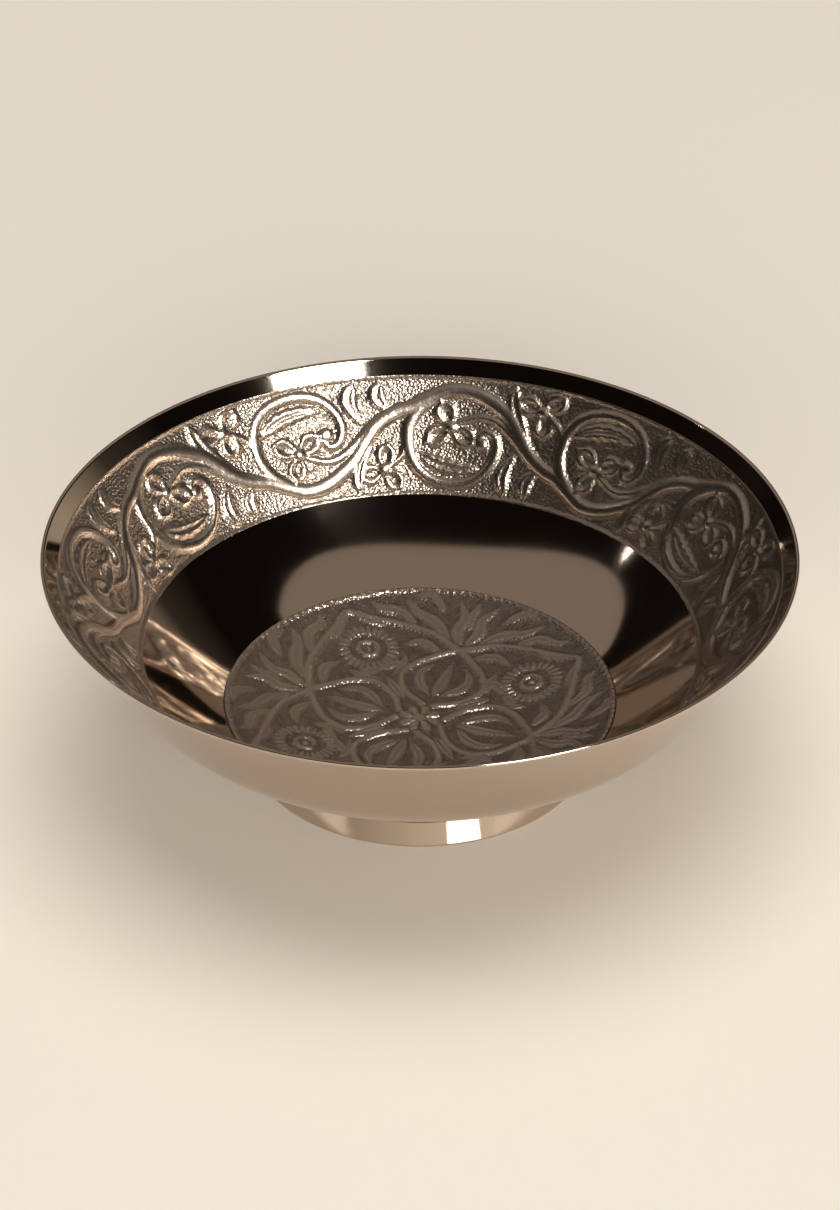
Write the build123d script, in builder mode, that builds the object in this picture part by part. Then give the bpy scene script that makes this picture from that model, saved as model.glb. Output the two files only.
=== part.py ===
"""Footed offering bowl: a turned bowl on a flared foot ring, with a rim wire, a frieze and a medallion.

All sizes are in millimetres and degrees. The bowl stands on z = 0 with its axis on Z.
"""

import os
from math import atan2, cos, radians, sin, tan

from build123d import *

# Whole bowl
rim_radius = 63.5
bowl_height = 41.2

# Rim wire: the stout wire that closes the lip, with a broad bevel inside
lip_width = 0.6
wire_height = 2.6
wire_bevel = 2.1
wire_overhang = 1.5
wire_edge = 0.2

# Bowl wall, outside: a straight flare, a rounded belly and a shallow cone down to the foot
flare_angle = 57.0
belly_radius = 24.0
lower_angle = 36.5
wall_at_lip = 0.7
wall_at_belly = 2.0
wall_at_medallion = 0.95
cove_drop = 3.0

# Frieze band, set into a turned seat inside the wall
band_thickness = 0.4
band_step = 0.15
band_foot_slope = 42.0

# Medallion, set into a dished seat in the floor
medallion_radius = 0.53 * rim_radius
medallion_thickness = 0.6
medallion_relief = 0.4
medallion_rim = 0.8
medallion_clearance = 0.1
medallion_seat_depth = 0.5
dish_flat = 13.0
dish_depth = 4.9

# Foot ring and its solder
foot_radius = 0.466 * rim_radius
foot_height = 4.34
foot_wall = 1.6
foot_flare = 20.0
foot_edge = 0.3
solder_leg = 1.0

# Outline of the body, worked out in the plane of radius and height
flare, lower = radians(flare_angle), radians(lower_angle)
wire_base = bowl_height - wire_height
wall_top = (rim_radius - wire_overhang, wire_base)
foot_outer_top = (foot_radius - foot_height * tan(radians(foot_flare)), foot_height)


def centre_line_offset(point, slope):
    """How far from the origin a line runs that is one belly radius inside a wall through a point."""
    return point[1] * cos(slope) - point[0] * sin(slope) + belly_radius


# The belly's arc touches the flare, which starts at the lip, and the lower cone, which starts at the foot
flare_offset = centre_line_offset(wall_top, flare)
lower_offset = centre_line_offset(foot_outer_top, lower)
belly_centre = (
    (flare_offset * cos(lower) - lower_offset * cos(flare)) / sin(lower - flare),
    (flare_offset * sin(lower) - lower_offset * sin(flare)) / sin(lower - flare),
)


def belly_point(slope, depth=0):
    """Point of the belly where it has a slope, in radians from level, at a depth inside the wall."""
    radius = belly_radius - depth
    return belly_centre[0] + radius * sin(slope), belly_centre[1] - radius * cos(slope)


flare_foot = belly_point(flare)
belly_foot = belly_point(lower)


def cone_height(radius):
    """Height of the outside of the lower cone at a radius."""
    return belly_foot[1] - (belly_foot[0] - radius) * tan(lower)


def foot_meets_cone(bottom_radius):
    """Where the flared side of the foot, starting at a bottom radius, meets the lower cone."""
    slant = tan(radians(foot_flare))
    height = cone_height(bottom_radius) / (1 + slant * tan(lower))
    return bottom_radius - height * slant, height


# Seat of the frieze band: a straight cone from the lip down to the belly
seat_top = (wall_top[0] - wall_at_lip, wire_base)
seat_foot = belly_point(radians(band_foot_slope), wall_at_belly)
band_angle = atan2(seat_top[1] - seat_foot[1], seat_top[0] - seat_foot[0])


def band_point(along, lift):
    """Point at a distance up the band's seat, raised from the seat by a lift."""
    return (
        seat_foot[0] + along * cos(band_angle) - lift * sin(band_angle),
        seat_foot[1] + along * sin(band_angle) + lift * cos(band_angle),
    )


# How far up its seat the band's face runs before it comes up against the rim wire
band_reach = (wire_base - seat_foot[1] - band_thickness * cos(band_angle)) / sin(band_angle)
cove_top = band_point(0, band_thickness - band_step)

# Dished seat of the medallion: a flat middle and a slope up to the edge
seat_radius = medallion_radius + medallion_clearance
seat_height = cone_height(seat_radius) + wall_at_medallion / cos(lower)
dish_bottom = seat_height - dish_depth
dish_slope = dish_depth / (seat_radius - dish_flat)


def dish_point(radius, lift):
    """Point on the dish's slope at a radius, a lift above the medallion's seat."""
    return radius, dish_bottom + dish_slope * (radius - dish_flat) + lift


# Cove between frieze and medallion: a slope up from the medallion, then an arc into the band's slope
cove_foot = (seat_radius, seat_height + medallion_seat_depth)
cove_corner = band_point(-cove_drop, band_thickness - band_step)
cove_slope = atan2(cove_corner[1] - cove_foot[1], cove_corner[0] - cove_foot[0])
cove_arc_foot = (cove_corner[0] - cove_drop * cos(cove_slope), cove_corner[1] - cove_drop * sin(cove_slope))

# Inner end of the foot ring's upper edge, and the edge of the flat floor within it
foot_inner_top = foot_meets_cone(foot_radius - foot_wall)
floor_edge_radius = foot_inner_top[0] - solder_leg * cos(lower)
floor_edge = (floor_edge_radius, cone_height(floor_edge_radius))

os.makedirs("parts", exist_ok=True)

# Bowl body: one turned profile
with BuildPart() as bowl_body:
    with BuildSketch(Plane.XZ):
        with BuildLine():
            Line(wall_top, flare_foot)
            ThreePointArc(flare_foot, belly_point((flare + lower) / 2), belly_foot)
            Line(belly_foot, floor_edge)
            Polyline(
                floor_edge,
                (0, floor_edge[1]),
                (0, dish_bottom),
                (dish_flat, dish_bottom),
                (seat_radius, seat_height),
                cove_foot,
                cove_arc_foot,
            )
            TangentArc(cove_arc_foot, cove_top, tangent=(cos(cove_slope), sin(cove_slope)))
            Line(cove_top, seat_foot)
            Line(seat_foot, seat_top)
            Line(seat_top, wall_top)
        make_face()
    revolve(axis=Axis.Z)

bowl_body.part.label = "bowl_body"
export_step(bowl_body.part, "parts/bowl_body.step")

# Rim wire: sits on the body's top edge and traps the top of the frieze
with BuildPart() as rim_wire:
    with BuildSketch(Plane.XZ) as wire_section:
        with BuildLine():
            Polyline(
                (rim_radius - lip_width - wire_bevel, wire_base),
                wall_top,
                (rim_radius, wire_base + wire_overhang * tan(flare)),
                (rim_radius, bowl_height),
                (rim_radius - lip_width, bowl_height),
                close=True,
            )
        make_face()
        chamfer(wire_section.vertices().group_by(Axis.Y)[-1], wire_edge)
    revolve(axis=Axis.Z)

rim_wire.part.label = "rim_wire"
export_step(rim_wire.part, "parts/rim_wire.step")

# Frieze band: a struck conical band that stands a step proud of the cove below it
with BuildPart() as frieze_band:
    with BuildSketch(Plane.XZ):
        with BuildLine():
            Polyline(
                seat_foot,
                seat_top,
                band_point(band_reach, band_thickness),
                band_point(0, band_thickness),
                close=True,
            )
        make_face()
    revolve(axis=Axis.Z)

frieze_band.part.label = "frieze_band"
export_step(frieze_band.part, "parts/frieze_band.step")

# Medallion: a struck dished disc with a raised rim
rim_lift = medallion_thickness + medallion_relief
rim_inside = medallion_radius - medallion_rim
with BuildPart() as medallion:
    with BuildSketch(Plane.XZ):
        with BuildLine():
            Polyline(
                (0, dish_bottom),
                dish_point(dish_flat, 0),
                dish_point(medallion_radius, 0),
                dish_point(medallion_radius, rim_lift),
                dish_point(rim_inside, rim_lift),
                dish_point(rim_inside, medallion_thickness),
                dish_point(dish_flat, medallion_thickness),
                (0, dish_bottom + medallion_thickness),
                close=True,
            )
        make_face()
    revolve(axis=Axis.Z)

medallion.part.label = "medallion"
export_step(medallion.part, "parts/medallion.step")

# Foot ring: flared, and cut to the slope of the bowl that it carries
with BuildPart() as foot_ring:
    with BuildSketch(Plane.XZ) as foot_section:
        with BuildLine():
            Polyline(
                (foot_radius - foot_wall, 0),
                (foot_radius, 0),
                foot_outer_top,
                foot_inner_top,
                close=True,
            )
        make_face()
        chamfer(foot_section.vertices().group_by(Axis.Y)[0].sort_by(Axis.X)[-1], foot_edge)
    revolve(axis=Axis.Z)

foot_ring.part.label = "foot_ring"
export_step(foot_ring.part, "parts/foot_ring.step")

# Solder run in the corner between the foot ring's inside and the bowl
solder_foot = (
    foot_inner_top[0] + solder_leg * sin(radians(foot_flare)),
    foot_inner_top[1] - solder_leg * cos(radians(foot_flare)),
)
with BuildPart() as foot_solder:
    with BuildSketch(Plane.XZ):
        with BuildLine():
            Polyline(foot_inner_top, solder_foot, floor_edge, close=True)
        make_face()
    revolve(axis=Axis.Z)

foot_solder.part.label = "foot_solder"
export_step(foot_solder.part, "parts/foot_solder.step")
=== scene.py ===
"""Looks of a footed offering bowl: polished plate outside, a vine frieze and a floral medallion inside.

Sizes in the property groups are in metres. The drawing of the ornament is in millimetres.
"""

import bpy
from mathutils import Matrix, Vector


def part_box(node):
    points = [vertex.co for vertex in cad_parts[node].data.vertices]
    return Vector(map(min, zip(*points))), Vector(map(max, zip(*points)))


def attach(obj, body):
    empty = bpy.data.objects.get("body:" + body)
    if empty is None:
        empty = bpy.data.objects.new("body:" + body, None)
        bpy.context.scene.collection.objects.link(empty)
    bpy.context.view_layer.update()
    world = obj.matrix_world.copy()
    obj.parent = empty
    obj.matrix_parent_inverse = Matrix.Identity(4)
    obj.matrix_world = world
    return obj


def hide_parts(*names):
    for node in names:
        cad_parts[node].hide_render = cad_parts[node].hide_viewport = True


bl_info = {
    "name": "Offering Bowl",
    "version": (1, 0, 0),
    "blender": (4, 5, 0),
    "location": "View3D > Sidebar > Bowl",
    "description": "Builds a footed offering bowl with a vine frieze and a floral medallion",
    "category": "Add Mesh",
}

from math import atan2, cos, pi, radians, sin, sqrt, tan

import bmesh
import bpy
import numpy as np
from mathutils import Vector

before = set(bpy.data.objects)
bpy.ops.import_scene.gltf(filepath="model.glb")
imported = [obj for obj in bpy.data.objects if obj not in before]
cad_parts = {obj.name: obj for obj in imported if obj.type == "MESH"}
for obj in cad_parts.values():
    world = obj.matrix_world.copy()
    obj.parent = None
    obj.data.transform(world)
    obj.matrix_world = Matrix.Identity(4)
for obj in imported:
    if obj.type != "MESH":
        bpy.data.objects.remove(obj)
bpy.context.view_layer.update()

MM = 0.001

# How finely pieces are turned, when points and edges count as touching or sharp
TURN_STEPS = 256
SOLDER_STEPS = 192
TOUCHING = 1e-6
SHARP_SHADING = radians(40)

# The ornament's drawing, in millimetres: its layout, its outlines, how its relief is sunk and how it is
# toned with painted shade
FRIEZE_SCROLLS = 12
FRIEZE_MIDDLE_RADIUS = 54.0
FRIEZE_TURN = radians(6.8)
FRIEZE_TOP = 0.6
FRIEZE_GROOVE = 0.24
FRIEZE_SUNK = 0.15
FRIEZE_BORDER = 0.6
FRIEZE_BORDER_TOP = 0.26
SCROLL_REACH = 0.9
MEDALLION_PETALS = 4
MEDALLION_TURN = 70
MEDALLION_CROWN = 0.9
MEDALLION_GROOVE = 0.2
# Where the medallion's ground sits on the ramp of painted shade: lower is darker
MEDALLION_SHADE_TONE = 0.22
MEDALLION_BEADS = 140
BEAD_RADIUS = 0.45
BEAD_HEIGHT = 0.28
BEAD_SWELL = 0.12
GROOVE_WIDTH = 0.5


# Sizes and colours that a user would change

def length(label, text, default):
    """A length property in metres."""
    return bpy.props.FloatProperty(name=label, description=text, default=default, min=0.0, unit="LENGTH")


def slope(label, text, default):
    """An angle property, with its default in degrees."""
    return bpy.props.FloatProperty(name=label, description=text, default=radians(default), subtype="ANGLE")


def colour(label, text, default):
    """A colour property."""
    return bpy.props.FloatVectorProperty(
        name=label, description=text, default=default, size=3, min=0.0, max=1.0, subtype="COLOR")


class BowlSizes(bpy.types.PropertyGroup):
    """Sizes of the turned pieces."""

    rim_radius: length("Rim radius", "Outer radius of the rim wire", -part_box("rim_wire")[0][0])
    height: length("Height", "From the foot's underside to the top of the rim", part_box("rim_wire")[1][2])
    lip_width: length("Lip width", "Width of the rim wire's rounded top", 0.0006)
    wire_height: length("Wire height", "Height of the rim wire", 0.0026)
    wire_bevel: length("Wire bevel", "Width of the broad bevel inside the rim wire", 0.0021)
    wire_overhang: length("Wire overhang", "How far the wire stands out from the wall's top", 0.0015)
    wire_round: length("Wire rounding", "Radius of the rounded edges of the wire's top", 0.00029)
    flare: slope("Flare", "Slope of the straight upper wall", 57.0)
    belly_radius: length("Belly radius", "Radius of the wall's rounded belly", 0.024)
    lower: slope("Lower wall", "Slope of the wall below the belly", 36.5)
    wall_at_lip: length("Wall at lip", "Thickness behind the frieze's upper edge", 0.0007)
    wall_at_belly: length("Wall at belly", "Thickness behind the frieze's lower edge", 0.002)
    band_thickness: length("Band thickness", "Thickness of the frieze band", 0.0004)
    band_step: length("Band step", "How far the band stands above the cove", 0.00015)
    band_foot: slope("Band foot", "Slope of the belly behind the frieze's lower edge", 42.0)
    cove_bow: slope("Cove bow", "How far the cove's slope turns between its edges", 7.0)
    medallion_radius: length("Medallion radius", "Radius of the medallion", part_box("medallion")[1][0])
    medallion_gap: length("Medallion gap", "Clearance round the medallion", 0.0001)
    medallion_base: length("Medallion base", "Height of the dish's underside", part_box("medallion")[0][2])
    medallion_thickness: length("Medallion thickness", "Thickness under the relief", 0.0006)
    dish_flat: length("Dish flat", "Radius of the medallion's level middle", 0.009)
    dish_depth: length("Dish depth", "Rise from the middle to the edge", 0.0049)
    seat_depth: length("Seat depth", "Depth of the medallion's seat at its edge", 0.0005)
    foot_radius: length(
        "Foot radius", "Radius of the foot's flared side at the floor", -0.466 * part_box("rim_wire")[0][0])
    foot_height: length("Foot height", "Height of the foot's outer side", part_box("foot_ring")[1][2])
    foot_wall: length("Foot wall", "Thickness of the foot ring", 0.0016)
    foot_flare: slope("Foot flare", "Lean of the foot's sides", 20.0)
    foot_edge: length("Foot edge", "Rounding of the foot's edges", 0.0003)
    solder_leg: length("Solder leg", "Size of the solder run", 0.001)


class BowlColours(bpy.types.PropertyGroup):
    """Colours of the finishes."""

    plate: colour("Plate", "Polished plate", (0.68, 0.56, 0.455))
    struck: colour("Struck plate", "High parts of the ornament", (0.60, 0.505, 0.425))
    # Painted shade: this near-black colour darkens the ornament's grooves and hollows where shade falls
    recess: colour("Recess", "Darkened recesses of the ornament", (0.03, 0.023, 0.018))
    solder: colour("Solder", "Run of solder", (0.55, 0.53, 0.50))
    floor: colour("Floor", "Studio floor", (0.92, 0.88, 0.81))


# Outline of the bowl, in the plane of radius and height

class Outline:
    """Points of the bowl's section, each a radius and a height in metres."""

    def __init__(self, sizes):
        s = self.sizes = sizes
        self.wire_base = s.height - s.wire_height
        self.wall_top = (s.rim_radius - s.wire_overhang, self.wire_base)
        self.foot_outer_top = (s.foot_radius - s.foot_height * tan(s.foot_flare), s.foot_height)
        flare_offset = self.centre_line_offset(self.wall_top, s.flare)
        lower_offset = self.centre_line_offset(self.foot_outer_top, s.lower)
        turn = sin(s.lower - s.flare)
        self.belly_centre = (
            (flare_offset * cos(s.lower) - lower_offset * cos(s.flare)) / turn,
            (flare_offset * sin(s.lower) - lower_offset * sin(s.flare)) / turn,
        )
        self.belly_foot = self.belly(s.lower)
        self.seat_top = (self.wall_top[0] - s.wall_at_lip, self.wire_base)
        self.seat_foot = self.belly(s.band_foot, s.wall_at_belly)
        self.band_angle = atan2(self.seat_top[1] - self.seat_foot[1], self.seat_top[0] - self.seat_foot[0])
        face_foot = self.seat_foot[1] + s.band_thickness * cos(self.band_angle)
        self.band_reach = (self.wire_base - face_foot) / sin(self.band_angle)
        self.seat_radius = s.medallion_radius + s.medallion_gap
        self.foot_inner_top = self.foot_meets_cone(s.foot_radius - s.foot_wall)
        floor_radius = self.foot_inner_top[0] - s.solder_leg * cos(s.lower)
        self.floor_edge = (floor_radius, self.cone(floor_radius))

    def centre_line_offset(self, point, angle):
        """How far from the origin a line runs that is one belly radius inside a wall through a point."""
        return point[1] * cos(angle) - point[0] * sin(angle) + self.sizes.belly_radius

    def belly(self, angle, depth=0.0):
        """Point of the belly where it has a slope, at a depth inside the wall."""
        radius = self.sizes.belly_radius - depth
        return self.belly_centre[0] + radius * sin(angle), self.belly_centre[1] - radius * cos(angle)

    def cone(self, radius):
        """Height of the lower wall's outside at a radius."""
        return self.belly_foot[1] - (self.belly_foot[0] - radius) * tan(self.sizes.lower)

    def foot_meets_cone(self, bottom_radius):
        """Where a flared side of the foot meets the lower wall."""
        slant = tan(self.sizes.foot_flare)
        height = self.cone(bottom_radius) / (1 + slant * tan(self.sizes.lower))
        return bottom_radius - height * slant, height

    def band(self, along, lift):
        """Point at a distance up the band's seat, raised from it by a lift."""
        a = self.band_angle
        return (
            self.seat_foot[0] + along * cos(a) - lift * sin(a),
            self.seat_foot[1] + along * sin(a) + lift * cos(a),
        )

    def dish(self, radius):
        """Height of the medallion's underside at a radius: a level middle and an arc that starts level."""
        s = self.sizes
        reach = self.seat_radius - s.dish_flat
        arc_radius = (reach ** 2 + s.dish_depth ** 2) / (2 * s.dish_depth)
        beyond = max(0.0, radius - s.dish_flat)
        return s.medallion_base + arc_radius - sqrt(arc_radius ** 2 - beyond ** 2)

    def cove(self, steps):
        """Points of the bowed polished cove, from the medallion's edge up to the frieze."""
        s = self.sizes
        foot = Vector((self.seat_radius, self.dish(self.seat_radius) + s.seat_depth))
        top = Vector(self.band(0, s.band_thickness - s.band_step))
        chord = top - foot
        middle = foot + chord / 2 + Vector((chord.y, -chord.x)) * 0.5 * tan(s.cove_bow / 2)
        shares = [k / steps for k in range(steps + 1)]
        return [tuple((1 - t) ** 2 * foot + 2 * t * (1 - t) * middle + t ** 2 * top) for t in shares]


# Turned pieces

def straight(start, end, rows):
    """Points along a straight part of a section, from its start up to its end, which is left out."""
    shares = [k / rows for k in range(rows)]
    return [(start[0] + (end[0] - start[0]) * t, start[1] + (end[1] - start[1]) * t) for t in shares]


def turned(section, steps, closed=True):
    """A bmesh of a section of radius and height points, spun once round the bowl's axis."""
    bm = bmesh.new()
    verts = [bm.verts.new((radius, 0.0, height)) for radius, height in section]
    ends = verts[1:] + verts[:1] if closed else verts[1:]
    edges = [bm.edges.new(pair) for pair in zip(verts, ends)]
    return spun(bm, verts + edges, steps)


def spun(bm, geometry, steps):
    """Spins geometry of a bmesh once round the bowl's axis and closes its seam and poles."""
    bmesh.ops.spin(
        bm, geom=geometry, axis=(0, 0, 1), cent=(0, 0, 0), angle=2 * pi, steps=steps,
        use_merge=True)
    return closed_up(bm)


def spun_in_sectors(bm, geometry, steps, sectors):
    """Spins one sector of a fine mesh round the bowl's axis and copies it all the way round."""
    sector = 2 * pi / sectors
    bmesh.ops.spin(bm, geom=geometry, axis=(0, 0, 1), cent=(0, 0, 0), angle=sector, steps=steps)
    bmesh.ops.spin(
        bm, geom=bm.verts[:] + bm.edges[:] + bm.faces[:], axis=(0, 0, 1), cent=(0, 0, 0),
        angle=2 * pi - sector, steps=sectors - 1, use_duplicate=True)
    return closed_up(bm)


def closed_up(bm):
    """Merges a spun bmesh at its seams and poles and points its faces outwards."""
    bmesh.ops.remove_doubles(bm, verts=bm.verts, dist=TOUCHING)
    bmesh.ops.recalc_face_normals(bm, faces=bm.faces)
    return bm


def soften(bm, width, sharper_than):
    """Rounds every edge of a bmesh that is sharper than an angle."""
    edges = [edge for edge in bm.edges if edge.is_manifold and edge.calc_face_angle() > sharper_than]
    bmesh.ops.bevel(
        bm, geom=edges, offset=width, offset_type="OFFSET", segments=3, profile=0.5, affect="EDGES",
        clamp_overlap=True, material=-1)


def finished(bm, name, material, node):
    """Makes a bmesh an object that stands for a CAD node, and gives it its finish."""
    for face in bm.faces:
        face.smooth = True
    mesh = bpy.data.meshes.new(name)
    bm.to_mesh(mesh)
    bm.free()
    mesh.set_sharp_from_angle(angle=SHARP_SHADING)
    mesh.materials.append(material)
    piece = bpy.data.objects.new(name, mesh)
    bpy.context.scene.collection.objects.link(piece)
    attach(piece, "root")
    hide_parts(node)
    return piece


# Struck ornament, drawn as strokes on a flat field in millimetres

def smooth_path(points, samples=14):
    """A smooth path through a few points, with as many samples to each span."""
    knots = np.array(points, dtype=float)
    knots = np.vstack([2 * knots[0] - knots[1], knots, 2 * knots[-1] - knots[-2]])
    t = np.linspace(0, 1, samples, endpoint=False)[:, None]
    spans = []
    for a, b, c, d in zip(knots, knots[1:], knots[2:], knots[3:]):
        spans.append(b + 0.5 * t * (c - a + t * (2 * a - 5 * b + 4 * c - d + t * (3 * (b - c) + d - a))))
    return np.vstack(spans + [knots[-2:-1]])


class Carving:
    """Struck ornament at the points of a flat field: ridges with chased outlines, stroke by stroke.

    The crown is the power of a ridge's round: half round at 0.5, and softer towards 1.
    """

    def __init__(self, x, y, crown=0.5):
        self.x = x
        self.y = y
        self.crown = crown
        self.ridge = np.zeros_like(x)
        self.groove = np.zeros_like(x)

    def near(self, low, high):
        """Indexes of the points within a box."""
        inside = (self.x > low[0]) & (self.x < high[0]) & (self.y > low[1]) & (self.y < high[1])
        return np.nonzero(inside)[0]

    def strike(self, where, height, beyond):
        """Raises points to heights, and chases a groove by how far they lie beyond the stroke's edge."""
        self.ridge[where] = np.maximum(self.ridge[where], height)
        groove = np.exp(-((beyond - 0.5 * GROOVE_WIDTH) / GROOVE_WIDTH) ** 2)
        self.groove[where] = np.maximum(self.groove[where], groove)

    def beside(self, points, reach):
        """Points near a path: their indexes, their distance from it and their share of its length."""
        path = smooth_path(points)
        where = self.near(path.min(axis=0) - reach, path.max(axis=0) + reach)
        gaps = np.hypot(self.x[where, None] - path[:, 0], self.y[where, None] - path[:, 1])
        nearest = gaps.argmin(axis=1)
        return where, gaps[np.arange(len(where)), nearest], nearest / (len(path) - 1)

    def vine(self, points, height, width, tip):
        """A rounded ridge along a path, from a width at its start to another at its tip."""
        where, gap, share = self.beside(points, 0.5 * max(width, tip) + 3 * GROOVE_WIDTH)
        half = 0.5 * (width + (tip - width) * share)
        top = np.clip(1 - (gap / half) ** 2, 0, 1) ** self.crown
        self.strike(where, height * top * np.sqrt(2 * half / max(width, tip)), gap - half)

    def leaf(self, points, height, width, teeth=0):
        """A pointed leaf along a path, with a sunk midrib and a toothed edge where teeth are given."""
        where, gap, share = self.beside(points, 0.5 * width + 3 * GROOVE_WIDTH)
        half = 0.5 * width * np.sin(pi * np.clip(share, 0.02, 0.98) ** 0.75) ** 0.8
        if teeth:
            half = half * (0.72 + 0.28 * np.abs(np.cos(teeth * pi * share)))
        blade = np.clip(1 - (gap / half) ** 2, 0, 1) ** self.crown
        midrib = 1 - 0.55 * np.exp(-(gap / (0.12 * width)) ** 2)
        self.strike(where, height * blade * midrib, gap - half)

    def around(self, centre, radius):
        """Points round a centre: their indexes, and their distance and direction from it."""
        reach = radius + 3 * GROOVE_WIDTH
        where = self.near(np.array(centre) - reach, np.array(centre) + reach)
        dx, dy = self.x[where] - centre[0], self.y[where] - centre[1]
        return where, np.hypot(dx, dy), np.arctan2(dy, dx)

    def petal(self, points, height, width):
        """A round-ended petal along a path from the heart of a flower, hollowed like a spoon."""
        where, gap, share = self.beside(points, 0.5 * width + 3 * GROOVE_WIDTH)
        half = 0.5 * width * np.sin(pi * np.clip(share, 0.03, 0.99) ** 1.5) ** 0.55
        blade = np.clip(1 - (gap / half) ** 4, 0, 1) ** 0.5
        hollow = np.exp(-(gap / (0.26 * width)) ** 2) * np.sin(pi * share) * (gap < half)
        self.strike(where, height * blade * (1 - 0.9 * hollow), gap - half)
        self.groove[where] = np.maximum(self.groove[where], hollow)

    def flower(self, heart, tips, height, width):
        """Petals from a heart out to their tips, round a bead."""
        for tip in tips:
            middle = (0.5 * (heart[0] + tip[0]), 0.5 * (heart[1] + tip[1]))
            self.petal([heart, middle, tip], height, width)
        self.bead(heart, height * 1.08, 0.28 * width)

    def bead(self, centre, height, radius):
        """A round-topped bead."""
        where, gap, _ = self.around(centre, radius)
        self.strike(where, height * np.clip(1 - (gap / radius) ** 2, 0, 1) ** self.crown, gap - radius)

    def rays(self, centre, height, inner, outer, count):
        """A ring of rounded petals round a centre."""
        where, gap, direction = self.around(centre, outer)
        along = np.clip((gap - inner) / (outer - inner), 0, 1)
        across = np.abs(np.sin(0.5 * count * direction))
        blade = np.sqrt(np.clip(across - along ** 3, 0, 1)) * (gap > inner)
        self.strike(where, height * blade, np.maximum(gap - outer, inner - gap))

    def height(self, depth):
        """Height of the finished surface, with grooves of a depth chased round the ridges."""
        open_ground = 1 - np.clip(self.ridge / (0.5 * self.ridge.max()), 0, 1)
        return self.ridge - depth * self.groove * open_ground


def draw_scroll(art):
    """One scroll of the frieze: stem, spiral branch, three-petalled flowers and leaves."""
    art.vine([(-8.0, 4.8), (-4.3, 6.8), (-0.6, 8.2), (3.9, 7.5), (8.8, 4.6), (11.6, 1.2), (14.0, -1.8),
              (17.0, -3.8), (20.4, -4.9)], 0.6, 2.7, 2.7)
    art.vine([(-4.3, 6.7), (-7.0, 4.2), (-8.5, 0.8), (-8.3, -3.2), (-6.8, -6.2), (-4.0, -8.2), (0.2, -9.0),
              (4.2, -8.0), (7.0, -5.2), (7.9, -2.0), (7.0, 0.4), (5.3, 1.0), (4.2, -0.3)], 0.56, 2.6, 1.5)
    art.bead((4.9, -1.2), 0.58, 1.4)
    art.vine([(13.0, -1.6), (9.9, 1.2), (7.2, 3.0), (4.3, 3.6), (1.4, 2.6), (-0.2, 1.8)], 0.45, 1.8, 1.2)
    art.flower((-0.8, 1.4), ((-2.8, 6.0), (-5.2, -1.4), (3.3, -1.4)), 0.58, 4.2)
    art.leaf([(-6.8, -3.6), (-2.9, -5.4), (1.0, -6.0), (5.2, -5.8)], 0.5, 3.6, 6)
    art.vine([(-8.6, -0.6), (-9.8, -3.6), (-12.4, -5.8)], 0.42, 1.6, 1.2)
    art.flower((-13.4, -6.2), ((-12.5, -1.6), (-18.0, -7.4), (-10.2, -9.6)), 0.56, 4.0)
    art.leaf([(9.3, 9.9), (9.8, 6.4), (11.4, 3.2), (13.8, 0.4)], 0.54, 2.9)
    art.leaf([(10.6, -9.8), (9.7, -6.4), (11.6, -2.0)], 0.54, 3.2)
    art.leaf([(15.0, -9.6), (14.7, -6.8), (16.8, -4.2)], 0.54, 3.2)


def frieze_height(around, up):
    """Height of the frieze's relief, in millimetres, at places around the band and up from its middle."""
    step = 2 * pi / FRIEZE_SCROLLS
    ridge, groove = np.zeros_like(up), np.zeros_like(up)
    for k in range(FRIEZE_SCROLLS):
        off = (around - k * step + pi) % (2 * pi) - pi
        here = np.nonzero(np.abs(off) < SCROLL_REACH * step)[0]
        flip = -1 if k % 2 else 1
        art = Carving(off[here] * FRIEZE_MIDDLE_RADIUS, up[here] * flip)
        draw_scroll(art)
        ridge[here] = np.maximum(ridge[here], art.ridge)
        groove[here] = np.maximum(groove[here], art.groove)
    whole = Carving(around, up)
    whole.ridge, whole.groove = ridge, groove
    return whole.height(FRIEZE_GROOVE)


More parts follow.
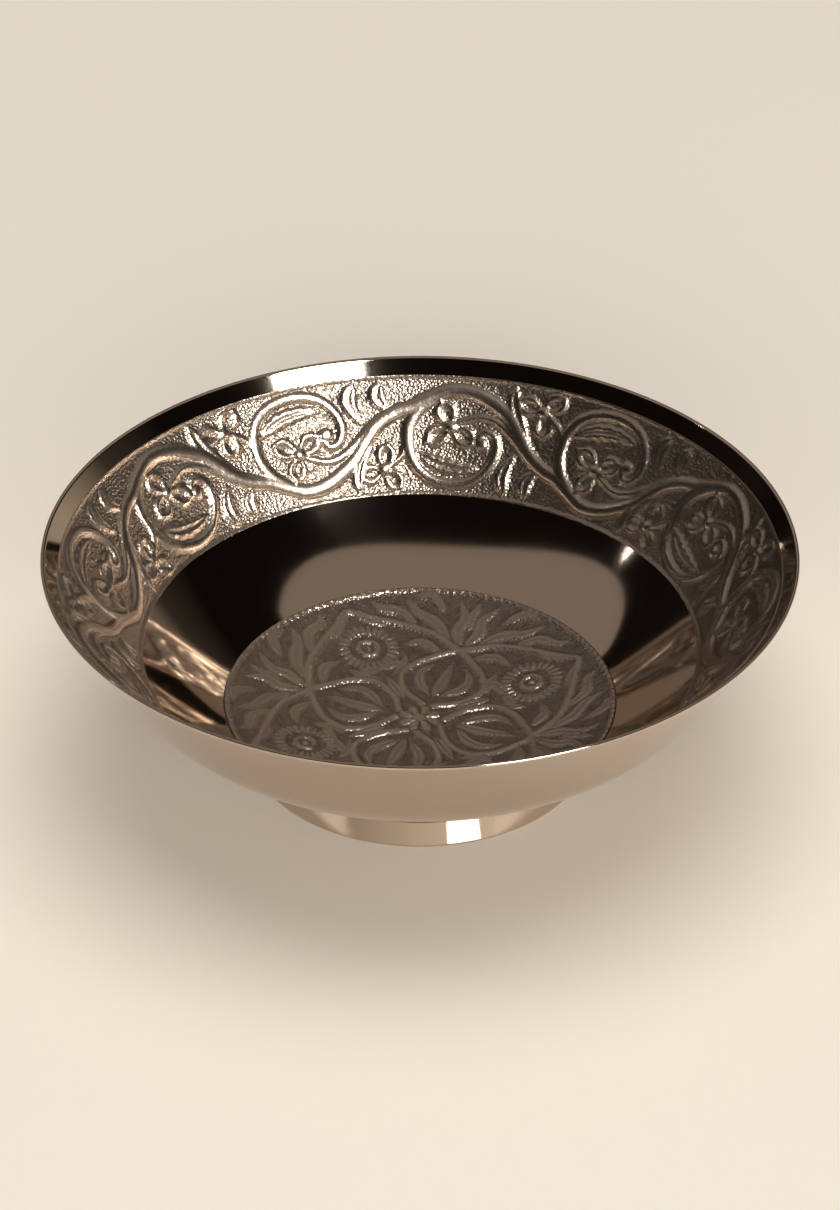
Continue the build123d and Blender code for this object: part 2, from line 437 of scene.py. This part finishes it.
def draw_petal(art):
    """One quarter of the medallion: an ogee petal, its leaves, the arms beyond it and a daisy."""
    for side in (1, -1):
        art.vine([(4.2, side * 1.0), (6.6, side * 4.8), (10.8, side * 7.4), (15.0, side * 6.2),
                  (18.4, side * 2.8), (20.6, 0)], 0.42, 1.7, 1.7)
        art.vine([(20.3, 0), (22.8, side * 5.7), (23.1, side * 11.1), (22.4, side * 16.6),
                  (21.6, side * 21.6)], 0.44, 2.0, 1.5)
        art.leaf([(7.4, side * 1.1), (10.2, side * 3.6), (13.2, side * 4.4), (16.2, side * 2.8)], 0.4, 2.6)
        art.leaf([(21.4, side * 0.5), (25.0, side * 1.9), (28.0, side * 1.6),
                  (31.6, side * 4.0)], 0.42, 2.9)
        art.leaf([(22.4, side * 2.6), (25.4, side * 6.2), (26.6, side * 10.2),
                  (29.0, side * 13.2)], 0.42, 2.9)
        art.leaf([(28.2, side * 5.6), (30.6, side * 8.6), (29.8, side * 12.0)], 0.4, 2.4)
        art.leaf([(23.6, side * 9.0), (25.6, side * 13.0), (24.9, side * 16.6),
                  (25.8, side * 18.8)], 0.42, 2.6)
        art.leaf([(19.2, side * 3.2), (20.2, side * 7.0), (18.6, side * 10.2)], 0.4, 2.6)
        art.leaf([(13.4, side * 7.6), (13.2, side * 9.6), (10.4, side * 12.0)], 0.4, 2.6)
    art.leaf([(7.0, 0), (11.6, 0), (17.6, 0)], 0.42, 3.0)
    art.leaf([(25.2, 0), (28.4, 0.4), (31.8, 0)], 0.4, 2.0)
    daisy = (15.2, 15.2)
    for side in (1, -1):
        art.leaf([(18.0 + side * 3.6, 18.0 - side * 3.6), (20.2 + side * 1.6, 20.2 - side * 1.6),
                  (22.2, 22.2)], 0.4, 2.4)
        art.leaf([(12.4 + side * 3.8, 12.4 - side * 3.8), (10.6 + side * 2.6, 10.6 - side * 2.6),
                  (9.6 + side * 0.6, 9.6 - side * 0.6)], 0.38, 2.0)
    art.rays(daisy, 0.36, 3.4, 5.6, 26)
    eye = [(daisy[0] + 1.7 * cos(t * pi / 4), daisy[1] + 1.7 * sin(t * pi / 4)) for t in range(9)]
    art.vine(eye, 0.42, 1.3, 1.3)
    art.bead(daisy, 0.42, 0.7)
    art.leaf([(4.8, 4.8), (6.8, 6.8), (9.8, 9.8)], 0.4, 2.8)


def medallion_height(x, y):
    """Height of the medallion's relief, in millimetres, at places on its plan."""
    whole = Carving(x, y)
    for k in range(MEDALLION_PETALS):
        turn = radians(MEDALLION_TURN + 360 * k / MEDALLION_PETALS)
        art = Carving(x * cos(turn) + y * sin(turn), y * cos(turn) - x * sin(turn), crown=MEDALLION_CROWN)
        draw_petal(art)
        whole.ridge = np.maximum(whole.ridge, art.ridge)
        whole.groove = np.maximum(whole.groove, art.groove)
    whole.rays((0, 0), 0.42, 1.4, 3.9, 8)
    whole.bead((0, 0), 0.46, 1.4)
    return whole.height(MEDALLION_GROOVE)


def coordinates(mesh):
    """Places of a mesh's vertices, as a row of three numbers each."""
    places = np.empty(3 * len(mesh.vertices))
    mesh.vertices.foreach_get("co", places)
    return places.reshape(-1, 3)


def set_relief(mesh, places, relief):
    """Moves a mesh's vertices and keeps the height of the relief, from 0 to 1, for its finish."""
    mesh.vertices.foreach_set("co", places.ravel())
    mesh.attributes.new("relief", "FLOAT", "POINT").data.foreach_set("value", relief)
    mesh.update()


# Finishes

class Value:
    """A node socket that takes part in sums."""

    def __init__(self, finish, socket):
        self.finish = finish
        self.socket = socket

    def __add__(self, other):
        return self.finish.sum("ADD", self, other)

    def __radd__(self, other):
        return self.finish.sum("ADD", other, self)

    def __sub__(self, other):
        return self.finish.sum("SUBTRACT", self, other)

    def __rsub__(self, other):
        return self.finish.sum("SUBTRACT", other, self)

    def __mul__(self, other):
        return self.finish.sum("MULTIPLY", self, other)

    def __rmul__(self, other):
        return self.finish.sum("MULTIPLY", other, self)


class Finish:
    """A node material in the making."""

    def __init__(self, owner):
        owner.use_nodes = True
        self.tree = owner.node_tree
        self.tree.nodes.clear()

    def add(self, kind, settings=None, out=0, **inputs):
        """A node of a kind, with its settings first and then the values or links of its sockets."""
        node = self.tree.nodes.new(kind)
        for name, value in (settings or {}).items():
            if name == "stops":
                self.set_stops(node.color_ramp, value)
            else:
                setattr(node, name, value)
        for name, value in inputs.items():
            key = int(name[1:]) if name[0] == "_" else name.replace("_", " ")
            if isinstance(value, Value):
                self.tree.links.new(value.socket, node.inputs[key])
            else:
                node.inputs[key].default_value = value
        return Value(self, node.outputs[out]) if node.outputs else node

    def set_stops(self, ramp, stops):
        """Gives a colour ramp its stops, each a position and a colour."""
        while len(ramp.elements) < len(stops):
            ramp.elements.new(1.0)
        for element, (position, tone) in zip(ramp.elements, stops):
            element.position = position
            element.color = (*tone, 1.0)

    def sum(self, operation, first, second):
        """One step of arithmetic on two values."""
        return self.add("ShaderNodeMath", {"operation": operation}, _0=first, _1=second)

    def blend(self, share, first, second):
        """A colour between two, by a share."""
        return self.add(
            "ShaderNodeMix", {"data_type": "RGBA"}, out=2, _0=share, _6=first, _7=second)

    def surface(self, **inputs):
        """Ends the tree in one Principled shader."""
        shader = self.add("ShaderNodeBsdfPrincipled", **inputs)
        self.add("ShaderNodeOutputMaterial", Surface=shader)


def rgba(tone):
    """A colour property as a socket's value."""
    return (*tone, 1.0)


def polished_plate(colours):
    """Mirror-polished warm silver plate with faint hazing and fine polishing marks."""
    material = bpy.data.materials.new("bowl_polished_plate")
    f = Finish(material)
    place = f.add("ShaderNodeTexCoord", out=3)
    haze = f.add("ShaderNodeTexNoise", Vector=place, Scale=90.0, Detail=4.0, Roughness=0.6)
    marks = f.add("ShaderNodeTexNoise", Vector=place, Scale=2600.0, Detail=2.0)
    warm = tuple(0.9 * c for c in colours.plate)
    bump = f.add("ShaderNodeBump", Strength=0.05, Distance=0.00001, Height=marks)
    f.surface(
        Base_Color=f.blend(haze, rgba(warm), rgba(colours.plate)),
        Metallic=1.0, Roughness=0.035 + 0.05 * haze, Normal=bump)
    return material


def antiqued_plate(colours):
    """Struck plate worn bright on the high parts, with painted shade darkening its grooves and recesses."""
    material = bpy.data.materials.new("bowl_antiqued_plate")
    f = Finish(material)
    place = f.add("ShaderNodeTexCoord", out=3)
    relief = f.add("ShaderNodeAttribute", {"attribute_name": "relief"}, out=2)
    grain = f.add("ShaderNodeTexNoise", Vector=place, Scale=700.0, Detail=3.0)
    stipple = f.add("ShaderNodeTexVoronoi", Vector=place, Scale=2000.0)
    # The ramp paints shade by the relief's height: grooves and low ground go dark as painted shade, and
    # high parts go bright as wear
    wear_and_shade = f.add(
        "ShaderNodeValToRGB", {"stops": [
            (0.04, (0, 0, 0)), (0.22, (0.42, 0.42, 0.42)), (0.30, (0.62, 0.62, 0.62)), (1.0, (1, 1, 1))]},
        Fac=relief + 0.2 * grain - 0.1)
    texture = stipple * (1 - relief) + 0.4 * grain
    bump = f.add("ShaderNodeBump", Strength=1.0, Distance=0.00016, Height=texture)
    f.surface(
        Base_Color=f.blend(wear_and_shade, rgba(colours.recess), rgba(colours.struck)),
        Metallic=1.0, Roughness=0.31 - 0.05 * relief, Normal=bump)
    return material


def solder_metal(colours):
    """Dull, slightly lumpy solder."""
    material = bpy.data.materials.new("bowl_solder_metal")
    f = Finish(material)
    place = f.add("ShaderNodeTexCoord", out=3)
    lumps = f.add("ShaderNodeTexNoise", Vector=place, Scale=500.0, Detail=3.0)
    dark = tuple(0.6 * c for c in colours.solder)
    bump = f.add("ShaderNodeBump", Strength=0.5, Distance=0.0001, Height=lumps)
    f.surface(
        Base_Color=f.blend(lumps, rgba(dark), rgba(colours.solder)),
        Metallic=1.0, Roughness=0.35 + 0.2 * lumps, Normal=bump)
    return material


def finish(maker):
    """The material that a maker makes, made once."""
    made = bpy.data.materials.get("bowl_" + maker.__name__)
    return made or maker(bpy.context.scene.bowl_colours)


# Operators

class BOWL_OT_body(bpy.types.Operator):
    """Turn the bowl's wall and floor"""

    bl_idname = "bowl.body"
    bl_label = "Bowl Body"

    def execute(self, context):
        o = Outline(context.scene.bowl_sizes)
        s = o.sizes
        flare = straight(o.wall_top, o.belly(s.flare), 6)
        belly = [o.belly(s.flare + (s.lower - s.flare) * k / 16) for k in range(16)]
        cone = straight(o.belly_foot, o.floor_edge, 6) + [o.floor_edge]
        seat = [(0.0, s.medallion_base)]
        for k in range(13):
            radius = s.dish_flat + (o.seat_radius - s.dish_flat) * k / 12
            seat.append((radius, o.dish(radius)))
        inside = seat + o.cove(10) + [o.seat_foot, o.seat_top]
        bm = turned(inside + flare + belly + cone + [(0.0, o.floor_edge[1])], TURN_STEPS, closed=False)
        finished(bm, "bowl_body_turned", finish(polished_plate), "bowl_body")
        return {"FINISHED"}


class BOWL_OT_rim(bpy.types.Operator):
    """Turn the rounded rim wire"""

    bl_idname = "bowl.rim"
    bl_label = "Rim Wire"

    def execute(self, context):
        o = Outline(context.scene.bowl_sizes)
        s = o.sizes
        inner_foot = (s.rim_radius - s.lip_width - s.wire_bevel, o.wire_base)
        outer_edge = (s.rim_radius, o.wire_base + s.wire_overhang * tan(s.flare))
        top_inside = (s.rim_radius - s.lip_width, s.height)
        section = [inner_foot] + straight(o.wall_top, outer_edge, 4) + [outer_edge]
        section += [(s.rim_radius, s.height)] + straight(top_inside, inner_foot, 8)
        bm = turned(section, TURN_STEPS)
        top = [edge for edge in bm.edges
               if all(vert.co.z > s.height - TOUCHING for vert in edge.verts)
               and edge.calc_face_angle() > radians(30)]
        bmesh.ops.bevel(
            bm, geom=top, offset=s.wire_round, offset_type="OFFSET", segments=5, profile=0.5,
            affect="EDGES", clamp_overlap=True, material=-1)
        finished(bm, "rim_wire_rounded", finish(polished_plate), "rim_wire")
        return {"FINISHED"}


class BOWL_OT_frieze(bpy.types.Operator):
    """Strike the frieze of scrolling vine"""

    bl_idname = "bowl.frieze"
    bl_label = "Frieze Band"

    def execute(self, context):
        o = Outline(context.scene.bowl_sizes)
        s = o.sizes
        rows, sectors, steps = 84, FRIEZE_SCROLLS, 92
        bm = bmesh.new()
        face_top, face_foot = o.band(o.band_reach, s.band_thickness), o.band(0, s.band_thickness)
        corners = [o.seat_foot, o.seat_top, face_top, face_foot]
        verts = [bm.verts.new((radius, 0.0, height)) for radius, height in corners]
        edges = [bm.edges.new(pair) for pair in zip(verts, verts[1:] + verts[:1])]
        bmesh.ops.subdivide_edges(bm, edges=[edges[2]], cuts=rows - 1)
        spun_in_sectors(bm, bm.verts[:] + bm.edges[:], steps, sectors)
        piece = finished(bm, "frieze_band_struck", finish(antiqued_plate), "frieze_band")
        self.strike(piece.data, o)
        return {"FINISHED"}

    def strike(self, mesh, o):
        """Gives the band's face its relief, sunk from the plain face."""
        s = o.sizes
        places = coordinates(mesh)
        radius = np.hypot(places[:, 0], places[:, 1])
        azimuth = np.arctan2(places[:, 1], places[:, 0])
        a = o.band_angle
        dr, dz = radius - o.seat_foot[0], places[:, 2] - o.seat_foot[1]
        along, lift = dr * cos(a) + dz * sin(a), dz * cos(a) - dr * sin(a)
        face = np.nonzero(lift > s.band_thickness - TOUCHING)[0]
        up = (along[face] - 0.5 * o.band_reach) / MM
        around = (radians(90) - azimuth[face]) - FRIEZE_TURN
        height = frieze_height(around, up)
        edge = 0.5 * o.band_reach / MM - np.abs(up)
        height = np.maximum(height, FRIEZE_BORDER_TOP * np.clip(2 - 2 * edge / FRIEZE_BORDER, 0, 1))
        sink = (height - FRIEZE_SUNK) * MM
        places[face, 0] -= sink * sin(a) * np.cos(azimuth[face])
        places[face, 1] -= sink * sin(a) * np.sin(azimuth[face])
        places[face, 2] += sink * cos(a)
        # The relief value also sets the painted shade: low grooves come out near black and the high parts
        # bright
        relief = np.ones(len(places))
        relief[face] = np.clip((height + FRIEZE_GROOVE) / (FRIEZE_TOP + FRIEZE_GROOVE), 0, 1)
        set_relief(mesh, places, relief)


class BOWL_OT_medallion(bpy.types.Operator):
    """Strike the floral medallion"""

    bl_idname = "bowl.medallion"
    bl_label = "Medallion"

    def execute(self, context):
        o = Outline(context.scene.bowl_sizes)
        s = o.sizes
        rows, sectors, steps = 120, 12, 60
        bm = bmesh.new()
        middle, edge = bm.verts.new((0.0, 0.0, 1.0)), bm.verts.new((s.medallion_radius, 0.0, 1.0))
        face = bm.edges.new((middle, edge))
        rim = bm.verts.new((s.medallion_radius, 0.0, 0.0))
        middle_under = bm.verts.new((0.0, 0.0, 0.0))
        under = bm.edges.new((rim, middle_under))
        bm.edges.new((edge, rim))
        bmesh.ops.subdivide_edges(bm, edges=[face], cuts=rows - 1)
        bmesh.ops.subdivide_edges(bm, edges=[under], cuts=11)
        spun_in_sectors(bm, bm.verts[:] + bm.edges[:], steps, sectors)
        piece = finished(bm, "medallion_struck", finish(antiqued_plate), "medallion")
        self.strike(piece.data, o)
        return {"FINISHED"}

    def strike(self, mesh, o):
        """Dishes the disc and gives its upper face its relief."""
        s = o.sizes
        places = coordinates(mesh)
        upper = places[:, 2] > 0.5
        radius = np.hypot(places[:, 0], places[:, 1])
        places[:, 2] = [o.dish(r) for r in radius]
        height = medallion_height(places[:, 0] / MM, places[:, 1] / MM)
        azimuth = np.arctan2(places[:, 1], places[:, 0])
        inside = (s.medallion_radius - radius) / MM
        beads = BEAD_HEIGHT + BEAD_SWELL * np.cos(MEDALLION_BEADS * azimuth)
        height = np.maximum(height, beads * np.sqrt(np.clip(1 - (inside / BEAD_RADIUS - 1) ** 2, 0, 1)))
        places[upper, 2] += s.medallion_thickness + height[upper] * MM
        # The relief value, raised by the medallion's tone, sets the painted shade of its grooves and ground
        relief = np.where(upper, np.clip(MEDALLION_SHADE_TONE + height, 0, 1), 1.0)
        set_relief(mesh, places, relief)


class BOWL_OT_foot(bpy.types.Operator):
    """Turn the flared foot ring"""

    bl_idname = "bowl.foot"
    bl_label = "Foot Ring"

    def execute(self, context):
        o = Outline(context.scene.bowl_sizes)
        s = o.sizes
        section = [(s.foot_radius - s.foot_wall, 0.0)]
        section += straight((s.foot_radius, 0.0), o.foot_outer_top, 12)
        section += [o.foot_outer_top, o.foot_inner_top]
        bm = turned(section, TURN_STEPS)
        soften(bm, s.foot_edge, radians(60))
        finished(bm, "foot_ring_turned", finish(polished_plate), "foot_ring")
        return {"FINISHED"}


class BOWL_OT_solder(bpy.types.Operator):
    """Run the solder between foot and bowl"""

    bl_idname = "bowl.solder"
    bl_label = "Foot Solder"

    def execute(self, context):
        o = Outline(context.scene.bowl_sizes)
        s = o.sizes
        solder_foot = (
            o.foot_inner_top[0] + s.solder_leg * sin(s.foot_flare),
            o.foot_inner_top[1] - s.solder_leg * cos(s.foot_flare),
        )
        bm = turned([o.foot_inner_top, solder_foot, o.floor_edge], SOLDER_STEPS)
        finished(bm, "foot_solder_run", finish(solder_metal), "foot_solder")
        return {"FINISHED"}


class BOWL_OT_stage(bpy.types.Operator):
    """Set up the floor, the studio light and the camera"""

    bl_idname = "bowl.stage"
    bl_label = "Stage"

    def execute(self, context):
        scene = context.scene
        self.floor(scene)
        self.world(scene)
        self.lights(scene)
        self.camera(scene)
        scene.view_settings.view_transform = "Standard"
        return {"FINISHED"}

    def floor(self, scene):
        """A pale plain floor, wide enough to fill the view."""
        bm = bmesh.new()
        bmesh.ops.create_grid(bm, x_segments=1, y_segments=1, size=6.0)
        mesh = bpy.data.meshes.new("studio_floor")
        bm.to_mesh(mesh)
        bm.free()
        material = bpy.data.materials.new("studio_floor")
        f = Finish(material)
        f.surface(Base_Color=rgba(scene.bowl_colours.floor), Roughness=0.9)
        mesh.materials.append(material)
        floor = bpy.data.objects.new("studio_floor", mesh)
        scene.collection.objects.link(floor)

    def world(self, scene):
        """A dim room with a glow along the horizon, brighter on the side of the lamps."""
        world = bpy.data.worlds.new("studio")
        scene.world = world
        f = Finish(world)
        direction = f.add("ShaderNodeTexCoord", out=0)
        rightward, inward, height = [
            f.add("ShaderNodeSeparateXYZ", out=k, Vector=direction) for k in range(3)]
        tone = f.add("ShaderNodeValToRGB", {"stops": [
            (0.0, (0.78, 0.68, 0.56)), (0.14, (0.66, 0.57, 0.46)), (0.34, (0.06, 0.05, 0.04)),
            (0.50, (0.005, 0.004, 0.003)), (1.0, (0.005, 0.004, 0.003))]}, Fac=height)
        lit_side = 0.54 + 0.42 * rightward - 0.35 * inward
        room = f.blend(lit_side, (0.005, 0.004, 0.003, 1.0), tone)
        shader = f.add("ShaderNodeBackground", Color=room, Strength=1.0)
        f.add("ShaderNodeOutputWorld", Surface=shader)

    def lights(self, scene):
        """Lamps of the studio: some light the floor alone, some are seen in the polished metal."""
        warm, white, amber = (1.0, 0.95, 0.88), (1.0, 0.96, 0.90), (1.0, 0.86, 0.76)
        key = self.lamp(scene, "key", (0.1, 0.1, 1.6), (0, 0, 0), (1.4, 1.4), 16.0, warm)
        key.visible_glossy = False
        fill = self.lamp(scene, "front_fill", (0.0, -1.5, 0.55), (0, 0, 0), (1.8, 0.6), 25.0, warm)
        fill.visible_glossy = False
        softbox = self.lamp(scene, "softbox", (0.52, -0.66, 0.92), (0, 0, 0.03), (0.46, 0.40), 15.0, white)
        softbox.visible_diffuse = False
        self.lamp(scene, "low_card", (0.41, -0.82, 0.09), (0, 0, 0.02), (0.33, 0.17), 0.4, white)
        self.lamp(scene, "side_lamp", (-0.76, 0.21, 0.62), (0, 0, 0.03), (0.03, 0.03), 0.06, white)
        above, below = (-0.24, 0.85, 1.03), (-0.24, 0.85, 0.0)
        ceiling = self.lamp(scene, "ceiling", above, below, (2.64, 2.11), 3.6, amber)
        ceiling.data.shape = "ELLIPSE"
        ceiling.rotation_euler.z = radians(-49)

    def lamp(self, scene, name, place, target, size, watts, tint):
        """A rectangular lamp that faces a point."""
        data = bpy.data.lights.new(name, "AREA")
        data.shape = "RECTANGLE"
        data.size, data.size_y = size
        data.energy = watts
        data.color = tint
        lamp = bpy.data.objects.new(name, data)
        lamp.location = place
        lamp.rotation_euler = (Vector(target) - Vector(place)).to_track_quat("-Z", "Y").to_euler()
        scene.collection.objects.link(lamp)
        return lamp

    def camera(self, scene):
        """A long lens that looks down into the bowl from the front."""
        data = bpy.data.cameras.new("camera")
        data.lens = 112.7
        data.sensor_width = 36.0
        data.clip_start = 0.01
        camera = bpy.data.objects.new("camera", data)
        rim = scene.bowl_sizes.height
        elevation, distance = radians(32.76), 0.635
        camera.location = (0.0, -distance * cos(elevation), rim + distance * sin(elevation))
        tilt_down = radians(0.917)
        camera.rotation_euler = (radians(90) - elevation - tilt_down, 0.0, 0.0)
        scene.collection.objects.link(camera)
        scene.camera = camera


class BOWL_PT_panel(bpy.types.Panel):
    """Sizes, colours and pieces of the bowl"""

    bl_idname = "BOWL_PT_panel"
    bl_label = "Offering Bowl"
    bl_space_type = "VIEW_3D"
    bl_region_type = "UI"
    bl_category = "Bowl"

    def draw(self, context):
        for group in (context.scene.bowl_sizes, context.scene.bowl_colours):
            for name in group.bl_rna.properties.keys():
                if name not in {"rna_type", "name"}:
                    self.layout.prop(group, name)
        for operator in OPERATORS:
            self.layout.operator(operator.bl_idname)


OPERATORS = (
    BOWL_OT_body, BOWL_OT_rim, BOWL_OT_frieze, BOWL_OT_medallion, BOWL_OT_foot, BOWL_OT_solder,
    BOWL_OT_stage)
CLASSES = (BowlSizes, BowlColours, *OPERATORS, BOWL_PT_panel)


def register():
    """Registers the classes and hangs the sizes and colours on the scene."""
    for item in CLASSES:
        bpy.utils.register_class(item)
    bpy.types.Scene.bowl_sizes = bpy.props.PointerProperty(type=BowlSizes)
    bpy.types.Scene.bowl_colours = bpy.props.PointerProperty(type=BowlColours)


def unregister():
    """Takes back what register did."""
    del bpy.types.Scene.bowl_colours
    del bpy.types.Scene.bowl_sizes
    for item in reversed(CLASSES):
        bpy.utils.unregister_class(item)


def main():
    """Builds the stage and the bowl."""
    register()
    bpy.ops.bowl.stage()
    bpy.ops.bowl.body()
    bpy.ops.bowl.rim()
    bpy.ops.bowl.frieze()
    bpy.ops.bowl.medallion()
    bpy.ops.bowl.foot()
    bpy.ops.bowl.solder()


if __name__ == "__main__":
    main()
